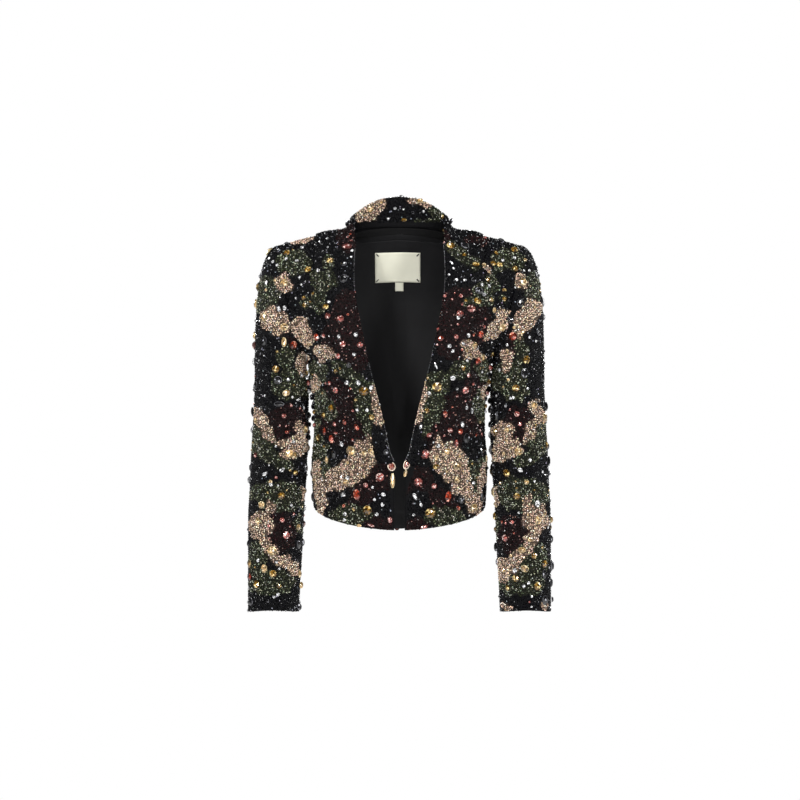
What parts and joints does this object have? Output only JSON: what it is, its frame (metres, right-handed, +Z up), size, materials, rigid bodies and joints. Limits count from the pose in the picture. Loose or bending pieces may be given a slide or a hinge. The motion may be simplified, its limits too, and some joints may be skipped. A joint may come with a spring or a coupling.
{
  "type": "blazer",
  "caption": "Cropped open-front blazer with camouflage beadwork and cut stones, a turned-down shawl collar and long sleeves, in its worn shape.",
  "frame": {"origin": "between the two neck points of the shoulder seams and 4.5 mm over them, where the wearer's shoulders carry the jacket", "axes": "+X to the wearer's left, +Y to the back, +Z up"},
  "size_m": [0.4848, 0.2358, 0.6627],
  "materials": {
    "beaded_cloth": "glossy sequins and seed beads in tan, green, burgundy and black",
    "lining_cloth": "smooth black lining",
    "label_cloth": "plain woven cream label",
    "cut_stones": "faceted, foil-backed"
  },
  "bodies": {
    "root": {"left_front": "beaded_cloth", "right_front": "beaded_cloth", "back": "beaded_cloth", "left_sleeve": "beaded_cloth", "right_sleeve": "beaded_cloth", "collar": "beaded_cloth", "back_lining": "lining_cloth", "neck_facing": "lining_cloth", "label": "label_cloth", "size_tab": "label_cloth", "left_closure_stone": "cut_stones", "right_closure_stone": "cut_stones"}
  },
  "joints": []
}
